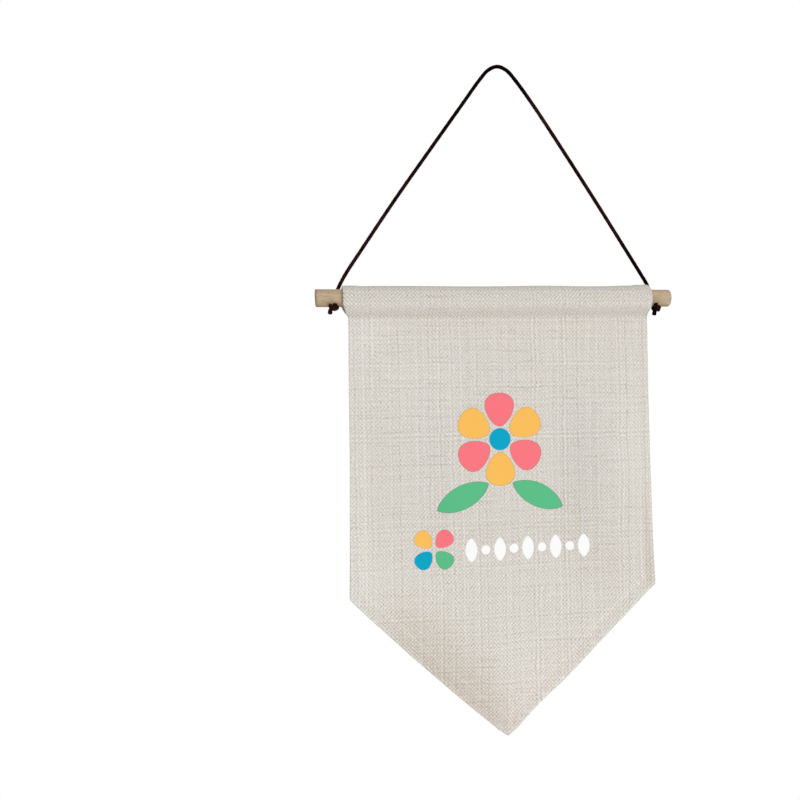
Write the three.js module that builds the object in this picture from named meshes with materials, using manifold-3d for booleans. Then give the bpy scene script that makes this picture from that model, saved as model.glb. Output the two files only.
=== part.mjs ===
// Fabric wall banner on a wooden dowel, hung by a knotted cord.
// Millimetres, +Z up, +X to the right of the banner, its face towards -Y.
// The origin is the hang point: the underside of the cord at the top of its loop.

import * as THREE from 'three';
import { mergeVertices } from 'three/addons/utils/BufferGeometryUtils.js';
import Module from 'manifold-3d';

// Driving dimensions
const GAP = 0.3;                 // clearance between pieces that bear on each other
const ROD_DROP = 146;            // hang point down to the dowel's axis
const ROD_LENGTH = 230.5;
const ROD_DIAMETER = 11;
const ROD_SLIDE = -2.6;          // the dowel's middle, off the banner's centre line
const ROD_EASE = 0.5;            // eased edge at each end
const ROD_SIDES = 40;

const CORD_DIAMETER = 2.4;
const CORD_SIDES = 8;
const CORD_STEPS = 80;
const CORD_END = 5.35;           // how far past the dowel's axis each end of the plain cord reaches
const HOLE_DIAMETER = 3.6;
const HOLE_TURN = 36;            // degrees: the holes' upper mouths lean to the back
const KNOT_SIZE = [6.2, 4.9, 4.9];
const KNOT_PRESS = 0.3;          // how far the knot flattens where it bears on the dowel
const TAIL_DIAMETER = 2.4;

const CLOTH_THICK = 1.2;
const HEM_THICK = 0.8;           // what the turned edge adds at the back
const HEM_WIDTH = 10;
const SLEEVE_THICK = 1.8;
const SLEEVE_SLACK = 0.4;        // least room between dowel and sleeve
const SLEEVE_DEEPEN = 0.6;       // how much wider the sleeve is front to back than up and down
const SLEEVE_END_HEM = 0.35;     // what the side hems add around the sleeve's ends
const SLEEVE_LEFT = -101;
const SLEEVE_RIGHT = 98;
const SEAM_DROP = 12.1;          // dowel's axis down to the sleeve's seam
const SEAM_FRONT = 0.7;          // from the panel's middle to the seam's front and back faces
const SEAM_BACK = 1.9;
const CORNER_DROP = 186.4;       // dowel's axis down to the panel's lower corners
const TIP_DROP = 278.4;          // dowel's axis down to where the slanted edges would meet
const TIP_X = -0.6;
const TIP_ROUND = 2.3;
const FOOT_BOW = { left: 1.0, right: 0.4 };    // how far the slanted edges swell outward

// Each end of the dowel: where the hole crosses the axis, how many degrees it leans outward
// at its lower mouth, and the end of the knot's tail as seen from the knot.
const ENDS = {
  left: { holeX: -105.3, lean: 9, outward: -1, tail: [-2.4, 1.0, -4.4] },
  right: { holeX: 102, lean: 2, outward: 1, tail: [-1.3, 0.8, -4.8] },
};

// The cord's way from the left hole's upper mouth over the loop's top to the right one.
const CORD_ROUTE = [
  [-103.2, 3.7, -138.9],
  [-101.4, 3.0, -135.3],
  [-98.2, 2.4, -129.8],
  [-88.1, 2.1, -114.8],
  [-67.5, 1.6, -84.7],
  [-45.6, 1.1, -54.2],
  [-23.2, 0.6, -23.3],
  [-11.6, 0.3, -7.4],
  [-6.0, 0.1, -1.2],
  [0, 0, 1.2],
  [5.9, 0.1, -1.0],
  [11.3, 0.3, -6.6],
  [22.7, 0.6, -21.6],
  [43.4, 1.1, -51.8],
  [63.7, 1.6, -82.2],
  [83.8, 2.1, -113.1],
  [93.9, 2.4, -128.7],
  [98.4, 3.0, -135.4],
  [100.6, 3.8, -138.9],
];

// The panel's side edges: half widths at drops below the dowel's axis.
const SIDE_EDGES = [
  { drop: SEAM_DROP, left: 97.7, right: 97.6 },
  { drop: 62, left: 98.3, right: 97.6 },
  { drop: 100, left: 98.5, right: 97.8 },
  { drop: 150, left: 99.3, right: 98.8 },
  { drop: CORNER_DROP, left: 99.8, right: 99.9 },
];

// Where the sleeve stands off the dowel's top.
const SLEEVE_PUFFS = [
  { x: -62, halfWidth: 42, rise: 0.35 },
  { x: 28, halfWidth: 44, rise: 0.55 },
  { x: 100, halfWidth: 52, rise: 0.85 },
];

// Soft ridges (depth > 0, towards the viewer) and troughs that run down the hanging panel.
const FOLDS = [
  { x: -90, halfWidth: 17, depth: 1.2, top: 40, bottom: 235, slant: 0.02 },
  { x: -60, halfWidth: 22, depth: -1.5, top: 14, bottom: 215, slant: 0.05 },
  { x: -12, halfWidth: 34, depth: 1.5, top: 35, bottom: 320, slant: -0.03 },
  { x: 42, halfWidth: 26, depth: -1.1, top: 14, bottom: 200, slant: -0.04 },
  { x: 84, halfWidth: 22, depth: 1.3, top: 14, bottom: 190, slant: 0.04 },
];

// How the slanted foot edges curl out of the panel's plane: depth > 0 is towards the viewer.
const CURLS = {
  left: { depth: -4.2, reach: 38 },
  right: { depth: 0.9, reach: 26 },
};

// Mesh fineness
const SHEET_MARGIN = 4;          // the sheet is this much larger than the panel cut from it
const SHEET_COLUMNS = 24;
const SHEET_ROWS = 32;
const SLEEVE_STATIONS = 30;
const SLEEVE_POINTS = 24;
const EDGE_STEPS = 4;

const rodRadius = ROD_DIAMETER / 2;
const radians = THREE.MathUtils.degToRad;
const lerp = THREE.MathUtils.lerp;
const wasm = await Module();
wasm.setup();

// ---------------------------------------------------------------- solids

function toSolid(geometry) {
  const bare = geometry.clone();
  bare.deleteAttribute('normal');
  bare.deleteAttribute('uv');
  const merged = mergeVertices(bare, 1e-4);
  const mesh = new wasm.Mesh({
    numProp: 3,
    vertProperties: new Float32Array(merged.attributes.position.array),
    triVerts: new Uint32Array(merged.index.array),
  });
  return new wasm.Manifold(mesh);
}

function toGeometry(solid) {
  const mesh = solid.getMesh();
  const geometry = new THREE.BufferGeometry();
  geometry.setAttribute('position', new THREE.BufferAttribute(mesh.vertProperties, 3));
  geometry.setIndex(new THREE.BufferAttribute(mesh.triVerts, 1));
  geometry.computeVertexNormals();
  return geometry;
}

function buildMesh(name, geometry, color, roughness) {
  const material = new THREE.MeshStandardMaterial({ color, roughness, metalness: 0 });
  const mesh = new THREE.Mesh(geometry, material);
  mesh.name = name;
  return mesh;
}

// A closed body through a row of closed rings, each a list of the same number of points.
function loft(rings) {
  const count = rings[0].length;
  const positions = rings.flat(2);
  const index = [];
  for (let r = 0; r < rings.length - 1; r += 1) {
    for (let i = 0; i < count; i += 1) {
      const next = (i + 1) % count;
      const a = r * count + i;
      const b = r * count + next;
      index.push(a, b, b + count, a, b + count, a + count);
    }
  }
  const capped = [0, rings.length - 1];
  for (const r of capped) {
    const middle = positions.length / 3;
    const ring = rings[r];
    for (let axis = 0; axis < 3; axis += 1) {
      positions.push(ring.reduce((sum, point) => sum + point[axis], 0) / count);
    }
    for (let i = 0; i < count; i += 1) {
      const a = r * count + i;
      const b = r * count + ((i + 1) % count);
      index.push(...(r === 0 ? [middle, b, a] : [middle, a, b]));
    }
  }
  const geometry = new THREE.BufferGeometry();
  geometry.setAttribute('position', new THREE.Float32BufferAttribute(positions, 3));
  geometry.setIndex(index);
  return geometry;
}

// A smooth hump: 1 at the middle, 0 from one half width away.
function hump(offset, halfWidth) {
  const t = Math.min(Math.abs(offset) / halfWidth, 1);
  return Math.cos((t * Math.PI) / 2) ** 2;
}

// ---------------------------------------------------------------- cloth

// A half width of the panel, on one side, at a drop above the lower corners.
function sideWidth(side, drop) {
  let row = 0;
  while (row < SIDE_EDGES.length - 2 && drop > SIDE_EDGES[row + 1].drop) row += 1;
  const upper = SIDE_EDGES[row];
  const lower = SIDE_EDGES[row + 1];
  return lerp(upper[side], lower[side], (drop - upper.drop) / (lower.drop - upper.drop));
}

// How far a point of the panel lies inside the slanted foot edge of one side.
function footInset(side, x, drop) {
  const width = sideWidth(side, CORNER_DROP);
  const run = width + (side === 'left' ? TIP_X : -TIP_X);
  const out = side === 'left' ? TIP_X - x : x - TIP_X;
  const slope = (TIP_DROP - CORNER_DROP) / run;
  return (TIP_DROP - slope * out - drop) / Math.hypot(1, slope);
}

// The panel's middle surface: its y at a place on the panel.
function foldY(x, drop) {
  let towardsViewer = 0;
  for (const fold of FOLDS) {
    const along = THREE.MathUtils.clamp((drop - fold.top) / (fold.bottom - fold.top), 0, 1);
    const middle = fold.x + fold.slant * (drop - fold.top);
    towardsViewer += fold.depth * hump(x - middle, fold.halfWidth) * Math.sin(along * Math.PI);
  }
  for (const side of ['left', 'right']) {
    const curl = CURLS[side];
    const near = 1 - THREE.MathUtils.clamp(footInset(side, x, drop) / curl.reach, 0, 1);
    towardsViewer += curl.depth * near * near;
  }
  return -towardsViewer;
}

// A sheet between two depths behind the panel's middle surface, larger than the panel.
function foldedSheet(front, back, topDrop) {
  const rows = [];
  for (let r = 0; r <= SHEET_ROWS; r += 1) {
    const drop = lerp(topDrop, TIP_DROP + SHEET_MARGIN, r / SHEET_ROWS);
    const row = [];
    for (let c = 0; c <= SHEET_COLUMNS; c += 1) {
      const x = lerp(SLEEVE_LEFT - SHEET_MARGIN, SLEEVE_RIGHT + SHEET_MARGIN, c / SHEET_COLUMNS);
      row.push([x, foldY(x, drop) + front, -ROD_DROP - drop]);
    }
    const behind = row.map(([x, y, z]) => [x, y - front + back, z]);
    rows.push([...row, ...behind.reverse()]);
  }
  return quilt(rows);
}

// A closed sheet whose rows each run along its front and return along its back. Its quads
// are split along the slant of the foot edge on their own side of the panel.
function quilt(rows) {
  const count = rows[0].length;
  const columns = count / 2;
  const index = [];
  const quad = (a, b, c, d) => index.push(a, b, c, a, c, d);
  for (let r = 0; r < rows.length - 1; r += 1) {
    for (let i = 0; i < count; i += 1) {
      const a = r * count + i;
      const b = r * count + ((i + 1) % count);
      const onLeft = Math.min(i, count - 1 - i) < columns / 2;
      const onFront = i < columns;
      if (onLeft === onFront) quad(a, a + count, b + count, b);
      else quad(b, a, a + count, b + count);
    }
  }
  const last = (rows.length - 1) * count;
  for (let i = 0; i < columns - 1; i += 1) {
    const mirror = count - 1 - i;
    quad(i, i + 1, mirror - 1, mirror);
    quad(last + i + 1, last + i, last + mirror, last + mirror - 1);
  }
  const geometry = new THREE.BufferGeometry();
  geometry.setAttribute('position', new THREE.Float32BufferAttribute(rows.flat(2), 3));
  geometry.setIndex(index);
  return geometry;
}

// The panel's outline, drawn in by an inset, as a prism that runs through the sheet.
function outlinePrism(inset, topDrop) {
  const shape = new THREE.Shape();
  const slope = (TIP_DROP - CORNER_DROP) / sideWidth('right', CORNER_DROP);
  const tipDrop = TIP_DROP - inset * Math.hypot(1, slope);
  const corner = {};
  for (const side of ['left', 'right']) {
    const sign = side === 'left' ? -1 : 1;
    const x = sign * (sideWidth(side, CORNER_DROP) - inset);
    corner[side] = new THREE.Vector2(x, -tipDrop + slope * Math.abs(x - TIP_X));
  }
  const tip = new THREE.Vector2(TIP_X, -tipDrop);
  const upper = SIDE_EDGES.filter((row) => row.drop < CORNER_DROP);
  shape.moveTo(-(upper[0].left - inset), -topDrop);
  for (const row of upper) shape.lineTo(-(row.left - inset), -row.drop);
  shape.lineTo(corner.left.x, corner.left.y);
  const intoTip = tip.clone().add(corner.left.clone().sub(tip).setLength(TIP_ROUND));
  const outOfTip = tip.clone().add(corner.right.clone().sub(tip).setLength(TIP_ROUND));
  bowTo(shape, corner.left, intoTip, FOOT_BOW.left);
  shape.quadraticCurveTo(tip.x, tip.y, outOfTip.x, outOfTip.y);
  bowTo(shape, outOfTip, corner.right, FOOT_BOW.right);
  for (const row of [...upper].reverse()) shape.lineTo(row.right - inset, -row.drop);
  shape.lineTo(upper[0].right - inset, -topDrop);
  const depth = 60;
  const options = { depth, bevelEnabled: false, curveSegments: EDGE_STEPS };
  const prism = new THREE.ExtrudeGeometry(shape, options);
  prism.translate(0, 0, -depth / 2);
  prism.rotateX(Math.PI / 2);
  prism.translate(0, 0, -ROD_DROP);
  return toSolid(prism);
}

// A line to a point that swells outward, away from the banner, by a bow.
function bowTo(shape, from, to, bow) {
  const along = to.clone().sub(from).normalize();
  const control = from.clone().add(to).multiplyScalar(0.5);
  control.x += 2 * bow * along.y;
  control.y -= 2 * bow * along.x;
  shape.quadraticCurveTo(control.x, control.y, to.x, to.y);
}

// How far the sleeve stands off the dowel's top at a place along it.
function sleeveSlack(x) {
  const rise = SLEEVE_PUFFS.reduce((sum, puff) => sum + puff.rise * hump(x - puff.x, puff.halfWidth), 0);
  return SLEEVE_SLACK + rise;
}

// One closed section of the sleeve's outside or inside. Its upper half is half an ellipse
// over the dowel; its lower half closes to the seam as a cosine does.
function sleeveSection(part, u) {
  const straightX = lerp(SLEEVE_LEFT, SLEEVE_RIGHT, (u + 1) / 2);
  const fromEnd = Math.min(straightX - SLEEVE_LEFT, SLEEVE_RIGHT - straightX);
  const wall = part === 'outside' ? SLEEVE_THICK : 0;
  const endHem = part === 'outside' && fromEnd < HEM_WIDTH ? SLEEVE_END_HEM : 0;
  const height = rodRadius + sleeveSlack(straightX) + wall + endHem;
  const depth = height + SLEEVE_DEEPEN;
  const bottom = part === 'outside' ? SEAM_DROP : SEAM_DROP - SLEEVE_THICK;
  const ring = [];
  for (let i = 0; i < SLEEVE_POINTS; i += 1) {
    const angle = (2 * Math.PI * i) / SLEEVE_POINTS;
    const facing = Math.sin(angle) < 0 ? -1 : 1;
    const low = Math.max(0, -Math.cos(angle));
    const s = (2 * Math.asin(low)) / Math.PI;
    let y = depth * Math.sin(angle);
    let up = height * Math.cos(angle);
    if (low > 1e-6) {
      const seam = part === 'inside' ? 0.1 : facing < 0 ? SEAM_FRONT : SEAM_BACK;
      y = facing * lerp(seam, depth, Math.cos((s * Math.PI) / 2));
      up = -bottom * s;
    }
    const pull = THREE.MathUtils.smoothstep(s, 0.4, 1);
    const left = lerp(SLEEVE_LEFT, -SIDE_EDGES[0].left, pull);
    const right = lerp(SLEEVE_RIGHT, SIDE_EDGES[0].right, pull);
    ring.push([lerp(left, right, (u + 1) / 2), y, up - ROD_DROP]);
  }
  return ring;
}

function sleeveBody(part) {
  const over = part === 'inside' ? 1.04 : 1;
  const hemU = 1 - (2 * HEM_WIDTH) / (SLEEVE_RIGHT - SLEEVE_LEFT);
  const stations = [-over];
  if (part === 'outside') stations.push(-hemU - 0.001, -hemU + 0.02);
  for (let i = 1; i < SLEEVE_STATIONS; i += 1) {
    const u = lerp(-1, 1, i / SLEEVE_STATIONS);
    if (Math.abs(u) < hemU - 0.04) stations.push(u);
  }
  if (part === 'outside') stations.push(hemU - 0.02, hemU + 0.001);
  stations.push(over);
  return toSolid(loft(stations.map((u) => sleeveSection(part, u).reverse())));
}

function buildCloth() {
  const topDrop = SEAM_DROP - 1.5;
  const half = CLOTH_THICK / 2;
  const outline = outlinePrism(0, topDrop - 5);
  const panel = toSolid(foldedSheet(-half, half, topDrop)).intersect(outline);
  const hemBand = outline.subtract(outlinePrism(HEM_WIDTH, topDrop - 10));
  const hems = toSolid(foldedSheet(half - 0.3, half + HEM_THICK, topDrop)).intersect(hemBand);
  const sleeve = sleeveBody('outside').subtract(sleeveBody('inside'));
  return buildMesh('banner_cloth', toGeometry(panel.add(hems).add(sleeve)), 0xd8d2c7, 0.92);
}

// ---------------------------------------------------------------- dowel and cord

// The direction of a hole from its upper mouth to its lower one.
function holeDirection(end) {
  const lean = radians(end.lean);
  const turn = radians(HOLE_TURN);
  return new THREE.Vector3(
    end.outward * Math.sin(lean),
    -Math.sin(turn) * Math.cos(lean),
    -Math.cos(turn) * Math.cos(lean),
  );
}

// A point on a hole's axis, measured downward from where it crosses the dowel's axis.
function onHole(end, distance) {
  const crossing = new THREE.Vector3(end.holeX, 0, -ROD_DROP);
  return crossing.addScaledVector(holeDirection(end), distance);
}

function turnTo(geometry, direction, place) {
  const turn = new THREE.Quaternion().setFromUnitVectors(new THREE.Vector3(0, 1, 0), direction);
  geometry.applyQuaternion(turn);
  geometry.translate(place.x, place.y, place.z);
  return geometry;
}

function rodProfile(radius, ease) {
  const half = ROD_LENGTH / 2;
  return [
    new THREE.Vector2(0, -half),
    new THREE.Vector2(radius - ease, -half),
    new THREE.Vector2(radius, -half + ease),
    new THREE.Vector2(radius, half - ease),
    new THREE.Vector2(radius - ease, half),
    new THREE.Vector2(0, half),
  ];
}

function rodBody(radius, ease) {
  const body = new THREE.LatheGeometry(rodProfile(radius, ease), ROD_SIDES);
  const middle = new THREE.Vector3(ROD_SLIDE, 0, -ROD_DROP);
  return toSolid(turnTo(body, new THREE.Vector3(1, 0, 0), middle));
}

function buildRod() {
  let rod = rodBody(rodRadius, ROD_EASE);
  for (const end of Object.values(ENDS)) {
    const bore = new THREE.CylinderGeometry(HOLE_DIAMETER / 2, HOLE_DIAMETER / 2, 3 * ROD_DIAMETER, 20);
    rod = rod.subtract(toSolid(turnTo(bore, holeDirection(end), onHole(end, 0))));
  }
  return buildMesh('dowel', toGeometry(rod), 0xbfa987, 0.75);
}

// A curve whose steps follow its own points, so they crowd where the points do.
class PointPacedCurve extends THREE.CatmullRomCurve3 {
  getPointAt(u, target) {
    return this.getPoint(u, target);
  }

  getTangentAt(u, target) {
    return this.getTangent(u, target);
  }
}

function buildCord() {
  const into = [CORD_END, 0.5, -5.4];
  const points = [
    ...into.map((distance) => onHole(ENDS.left, distance)),
    ...CORD_ROUTE.map((point) => new THREE.Vector3(...point)),
    ...[...into].reverse().map((distance) => onHole(ENDS.right, distance)),
  ];
  const corners = [];
  for (let i = 0; i < CORD_SIDES; i += 1) {
    const angle = (2 * Math.PI * i) / CORD_SIDES;
    corners.push(new THREE.Vector2(Math.cos(angle), Math.sin(angle)).multiplyScalar(CORD_DIAMETER / 2));
  }
  const section = new THREE.Shape(corners);
  const extrudePath = new PointPacedCurve(points, false, 'centripetal');
  const tube = new THREE.ExtrudeGeometry(section, { steps: CORD_STEPS, extrudePath });
  return buildMesh('hanging_cord', tube, 0x24110d, 0.5);
}

// An overhand knot's outer form with its short cut tail, seated against the dowel.
function buildKnot(name, end) {
  const [width, depth, height] = KNOT_SIZE;
  const centre = onHole(end, rodRadius + GAP + depth / 2 - KNOT_PRESS);
  const body = new THREE.SphereGeometry(0.5, 18, 12).scale(width, depth, height);
  const wrap = new THREE.TorusGeometry(width / 2 - CORD_DIAMETER / 2 + 0.2, CORD_DIAMETER / 2, 8, 18);
  wrap.rotateX(radians(62));
  const tail = new THREE.Vector3(...end.tail);
  const tailLength = tail.length();
  const tailBody = new THREE.CylinderGeometry(TAIL_DIAMETER / 2, TAIL_DIAMETER / 2, tailLength, 10);
  tailBody.translate(0, tailLength / 2, 0);
  turnTo(tailBody, tail.clone().normalize(), centre);
  const around = holeDirection(end).negate();
  let knot = toSolid(turnTo(body, around, centre));
  knot = knot.add(toSolid(turnTo(wrap, around, centre)));
  knot = knot.add(toSolid(tailBody));
  knot = knot.subtract(rodBody(rodRadius + GAP, 0));
  return buildMesh(name, toGeometry(knot), 0x24110d, 0.5);
}

const banner = new THREE.Group();
banner.add(buildCloth());

const hanger = new THREE.Group();
hanger.add(buildRod());
hanger.add(buildCord());
hanger.add(buildKnot('knot_left', ENDS.left));
hanger.add(buildKnot('knot_right', ENDS.right));
banner.add(hanger);

export default banner;
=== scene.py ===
import math

import bmesh
import bpy
import numpy as np
from mathutils import Matrix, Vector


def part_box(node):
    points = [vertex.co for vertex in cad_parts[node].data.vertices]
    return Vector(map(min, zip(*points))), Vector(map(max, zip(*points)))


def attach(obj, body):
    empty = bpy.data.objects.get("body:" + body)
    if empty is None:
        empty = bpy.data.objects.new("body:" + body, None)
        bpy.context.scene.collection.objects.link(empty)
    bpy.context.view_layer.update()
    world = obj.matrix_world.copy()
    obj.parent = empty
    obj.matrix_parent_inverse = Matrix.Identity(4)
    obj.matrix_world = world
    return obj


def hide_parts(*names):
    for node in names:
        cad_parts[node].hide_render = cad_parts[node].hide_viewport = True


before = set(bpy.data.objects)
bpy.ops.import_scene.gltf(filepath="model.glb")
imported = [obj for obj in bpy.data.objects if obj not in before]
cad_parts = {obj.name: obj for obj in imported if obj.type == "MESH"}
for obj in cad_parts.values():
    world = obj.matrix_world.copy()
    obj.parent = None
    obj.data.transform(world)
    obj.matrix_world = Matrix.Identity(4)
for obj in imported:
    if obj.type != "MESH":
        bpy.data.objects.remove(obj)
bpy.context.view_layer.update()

mm = 0.001  # sizes below are in millimetres unless a note says metres
rodLow, rodHigh = np.array(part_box("dowel")) / mm
rodRadius = (rodHigh[2] - rodLow[2]) / 2
rodZ = (rodHigh[2] + rodLow[2]) / 2  # height of the dowel's axis; drops are measured down from it
print("frame loaded, dowel radius", round(rodRadius, 2), "axis at", round(rodZ, 2))


# ease: 0 below low, 1 above high, 3t^2 - 2t^3 between
def ease(value, low, high):
    t = np.clip((value - low) / (high - low), 0, 1)
    return t * t * (3 - 2 * t)


# hump: cos^2, 1 in the middle and 0 from one half width away
def hump(offset, halfWidth):
    return np.cos(np.clip(np.abs(offset) / halfWidth, 0, 1) * np.pi / 2) ** 2


def roundAngles(count):
    return np.linspace(0, 2 * np.pi, count, endpoint=False)


def circle(radius, count):
    angle = roundAngles(count)
    return radius * np.stack([np.cos(angle), np.sin(angle)], axis=1)


# turns rows of (x, y) anticlockwise
def turnMatrix(degrees):
    cosine, sine = math.cos(math.radians(degrees)), math.sin(math.radians(degrees))
    return np.array([[cosine, sine], [-sine, cosine]])


def unit(vectors):
    return vectors / np.maximum(np.linalg.norm(vectors, axis=-1, keepdims=True), 1e-12)


# quads of a grid stored row by row, whose rows close on themselves
def gridFaces(rows, columns):
    first = np.arange(rows - 1)[:, None] * columns + np.arange(columns)
    right = np.roll(first, -1, axis=1)
    return np.stack([first, right, right + columns, first + columns], -1).reshape(-1, 4)


# quads of rings of points along a tube, with a flat cap at each end
def tubeFaces(rings, sides):
    cap = np.arange(sides)
    return [*gridFaces(rings, sides), cap[::-1], cap + (rings - 1) * sides]


# triangles between a ring of points and one in its middle, all given by number
def fanFaces(ring, middle):
    return np.stack([ring, np.roll(ring, -1), np.full(len(ring), middle)], axis=1)


# puts points in millimetres and their faces into a mesh object whose place is in its vertices
def addPiece(name, points, faces, materials=()):
    mesh = bpy.data.meshes.new(name)
    mesh.from_pydata((np.asarray(points) * mm).tolist(), [], [list(face) for face in faces])
    for material in materials:
        mesh.materials.append(material)
    mesh.polygons.foreach_set("use_smooth", np.ones(len(mesh.polygons), bool))
    mesh.update()
    piece = bpy.data.objects.new(name, mesh)
    bpy.context.scene.collection.objects.link(piece)
    return piece


# the mesh's own UV map from one (u, v) for each vertex
def layThreads(piece, uv):
    mesh = piece.data
    corner = np.empty(len(mesh.loops), np.int32)
    mesh.loops.foreach_get("vertex_index", corner)
    mesh.uv_layers.new(name="threads").data.foreach_set("uv", uv[corner].astype(np.float32).ravel())


def setAttribute(piece, name, kind, values):
    layer = piece.data.attributes.new(name, kind, "POINT")
    field = "value" if kind == "FLOAT" else "vector"
    layer.data.foreach_set(field, np.asarray(values, np.float32).ravel())


# welds points that lie within a distance of one another, or else turns the faces outwards
def mend(piece, weldWithin=0):
    shell = bmesh.new()
    shell.from_mesh(piece.data)
    if weldWithin:
        bmesh.ops.remove_doubles(shell, verts=shell.verts, dist=weldWithin)
    else:
        bmesh.ops.recalc_face_normals(shell, faces=shell.faces)
    shell.to_mesh(piece.data)
    shell.free()
    piece.data.update()


def putInScene(name, data, matrix):
    thing = bpy.data.objects.new(name, data)
    thing.matrix_world = matrix
    bpy.context.scene.collection.objects.link(thing)
    return thing


# camera: level, a little to the left of the banner, turned to the right
cameraSet = {
    "place": (-0.147181, -0.540, -0.209573),  # metres
    "yaw": 8.517,
    "roll": 1.0004,
    "lens": 39.355,
}


def addCamera(settings):
    data = bpy.data.cameras.new("bannerCamera")
    data.lens = settings["lens"]
    data.sensor_width = 36
    data.sensor_fit = "HORIZONTAL"
    data.clip_start = 0.01
    data.clip_end = 50
    turn = (
        Matrix.Rotation(math.radians(-settings["yaw"]), 4, "Z")
        @ Matrix.Rotation(math.radians(90), 4, "X")
        @ Matrix.Rotation(math.radians(-settings["roll"]), 4, "Z")
    )
    camera = putInScene("bannerCamera", data, Matrix.Translation(settings["place"]) @ turn)
    bpy.context.scene.camera = camera


addCamera(cameraSet)
print("camera ready")


# a material or a world made of shader nodes, written as plain calls
class Recipe:
    def __init__(self, name, owners=bpy.data.materials):
        self.owner = owners.new(name)
        self.owner.use_nodes = True
        self.nodes, self.links = self.owner.node_tree.nodes, self.owner.node_tree.links

    # one node: its inputs by number or by name, the output that is wanted, and its fields
    def add(self, kind, inputs=(), output=0, **fields):
        node = self.nodes.new("ShaderNode" + kind)
        for field, value in fields.items():
            setattr(node, field, value)
        self.plugAll(inputs if isinstance(inputs, dict) else dict(enumerate(inputs)), node)
        return node.outputs if output is None else node.outputs[output]

    def plugAll(self, inputs, node):
        for name, value in inputs.items():
            socket = node.inputs[name]
            if isinstance(value, bpy.types.NodeSocket):
                self.links.new(value, socket)
            else:
                socket.default_value = (*value, 1) if socket.type == "RGBA" else value

    def math(self, operation, *values):
        return self.add("Math", values, operation=operation)

    def times(self, *values):
        product = values[0]
        for value in values[1:]:
            product = self.math("MULTIPLY", product, value)
        return product

    # adds layers, given as (value, share), to a tone
    def layered(self, tone, *layers):
        for value, share in layers:
            tone = self.math("MULTIPLY_ADD", value, share, tone)
        return tone

    def scaled(self, vector, factors, shift=(0, 0, 0)):
        return self.add("VectorMath", (vector, factors, shift), operation="MULTIPLY_ADD")

    def moved(self, vector, shift):
        return self.add("VectorMath", (vector, shift), operation="ADD")

    def split(self, vector):
        return self.add("SeparateXYZ", [vector], None)

    def objectPlace(self):
        return self.add("TexCoord", output="Object")

    def threads(self):
        return self.add("UVMap", uv_map="threads")

    def stored(self, name, output="Fac"):
        return self.add("Attribute", output=output, attribute_name=name)

    def noise(self, vector, scale, detail=2.0, rough=0.5, dimensions="3D", output=0):
        place = "W" if dimensions == "1D" else "Vector"
        inputs = {place: vector, "Scale": scale, "Detail": detail, "Roughness": rough}
        return self.add("TexNoise", inputs, output, noise_dimensions=dimensions)

    def remap(self, value, low, high, newLow=0.0, newHigh=1.0):
        return self.add("MapRange", (value, low, high, newLow, newHigh))

    def blend(self, factor, first, second, mode="MIX"):
        inputs = {0: factor, 6: first, 7: second}
        return self.add("Mix", inputs, 2, data_type="RGBA", blend_type=mode)

    def bump(self, height, distance, strength):
        return self.add("Bump", {"Strength": strength, "Distance": distance, "Height": height})

    def finish(self, inputs):
        self.plugAll(inputs, self.nodes["Principled BSDF"])
        return self.owner


# twist-free frames along a path: any normal, turned back by the running sum of its twist
def framesAlong(path):
    tangent = unit(np.gradient(path, axis=0))
    side = np.eye(3)[np.abs(tangent).argmin(1)]
    normal = unit(np.cross(tangent, side))
    first, second = tangent[:-1], tangent[1:]
    axis = np.cross(first, second)
    cosine = (first * second).sum(1, keepdims=True)
    carried = (
        normal[:-1] * cosine
        + np.cross(axis, normal[:-1])
        + axis * (axis * normal[:-1]).sum(1, keepdims=True) / (1 + cosine)
    )
    across = np.cross(second, carried)
    twist = np.arctan2((normal[1:] * across).sum(1), (normal[1:] * carried).sum(1))
    turn = -np.concatenate([[0], np.cumsum(twist)])[:, None]
    straight = normal * np.cos(turn) + np.cross(tangent, normal) * np.sin(turn)
    return tangent, straight, np.cross(tangent, straight)


# distance travelled at each point of a path
def distanceAlong(path):
    return np.concatenate([[0], np.cumsum(np.linalg.norm(np.diff(path, axis=0), axis=1))])


# points with even steps along a path
def evenly(path, step):
    along = distanceAlong(path)
    at = np.linspace(0, along[-1], int(round(along[-1] / step)) + 1)
    return np.stack([np.interp(at, along, path[:, k]) for k in range(3)], axis=1)


# a curve through every point: Hermite pieces whose pace is the square root of their length
def smoothRoute(points, steps):
    before, after = 2 * points[0] - points[1], 2 * points[-1] - points[-2]
    whole = np.vstack([before, points, after])
    p0, p1, p2, p3 = whole[:-3], whole[1:-2], whole[2:-1], whole[3:]
    pace = np.sqrt(np.linalg.norm(np.diff(whole, axis=0), axis=1))[:, None]
    d0, d1, d2 = pace[:-2], pace[1:-1], pace[2:]
    leave = d1 * ((p1 - p0) / d0 - (p2 - p0) / (d0 + d1) + (p2 - p1) / d1)
    arrive = d1 * ((p2 - p1) / d1 - (p3 - p1) / (d1 + d2) + (p3 - p2) / d2)
    t = (np.arange(steps) / steps)[:, None]
    p1, p2, leave, arrive = (part[:, None] for part in (p1, p2, leave, arrive))
    route = (
        (2 * t**3 - 3 * t**2 + 1) * p1
        + (t**3 - 2 * t**2 + t) * leave
        + (3 * t**2 - 2 * t**3) * p2
        + (t**3 - t**2) * arrive
    )
    return np.vstack([route.reshape(-1, 3), points[-1]])


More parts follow.
